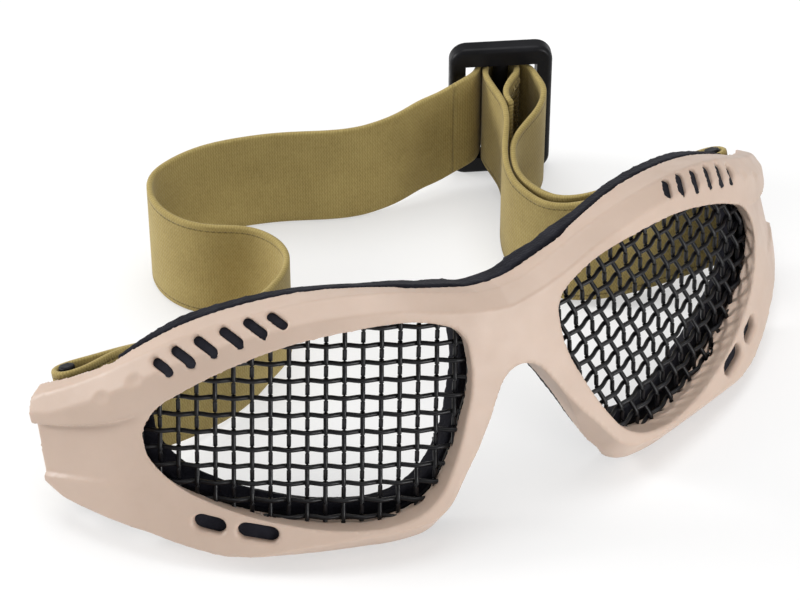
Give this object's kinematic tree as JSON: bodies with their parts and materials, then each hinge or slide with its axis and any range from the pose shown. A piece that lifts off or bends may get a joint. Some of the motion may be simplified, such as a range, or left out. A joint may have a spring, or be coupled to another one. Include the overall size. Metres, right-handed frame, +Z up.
{
  "type": "mesh safety goggles",
  "caption": "Low-profile safety goggles with woven wire mesh lenses, a foam face seal and an elastic head strap with a sliding buckle.",
  "frame": {"origin": "middle of the part's footprint, on the surface it lies on", "axes": "+Z up, -Y to the front of the goggles, +X to the side the buckle lies on; the frame is mirror-symmetric about X = 0"},
  "size_m": [0.176, 0.1164, 0.0531],
  "materials": {
    "frame": "moulded, satin, tan",
    "mesh": "black lacquered steel wire",
    "trim": "black, slightly glossy",
    "foam": "black cloth-faced foam",
    "webbing": "khaki elastic webbing",
    "thread": "khaki thread"
  },
  "bodies": {
    "goggles": {"frame_shell": "frame", "mesh_lens_left": "mesh", "mesh_lens_right": "mesh", "lens_retainer_left": "trim", "lens_retainer_right": "trim", "face_foam": "foam", "strap_clip_left": "trim", "strap_clip_right": "trim", "strap_rear_run": "webbing", "strap_right_loop": "webbing", "bar_tack_left": "thread"},
    "strap_carriage": {"strap_weave": "webbing", "strap_fold": "webbing", "bar_tack_buckle": "thread"},
    "buckle": {"tri_glide": "trim"}
  },
  "joints": [
    {"name": "strap_adjust", "type": "slide", "parent": "goggles", "child": "strap_carriage", "axis": [0.9806, 0.1961, 0], "range_m": [0, 0.015]},
    {"name": "buckle_tilt", "type": "hinge", "parent": "strap_carriage", "child": "buckle", "pos_m": [0.0516, 0.0488, 0.0175], "axis": [0, 0, 1], "range_deg": [-6, 6]}
  ]
}
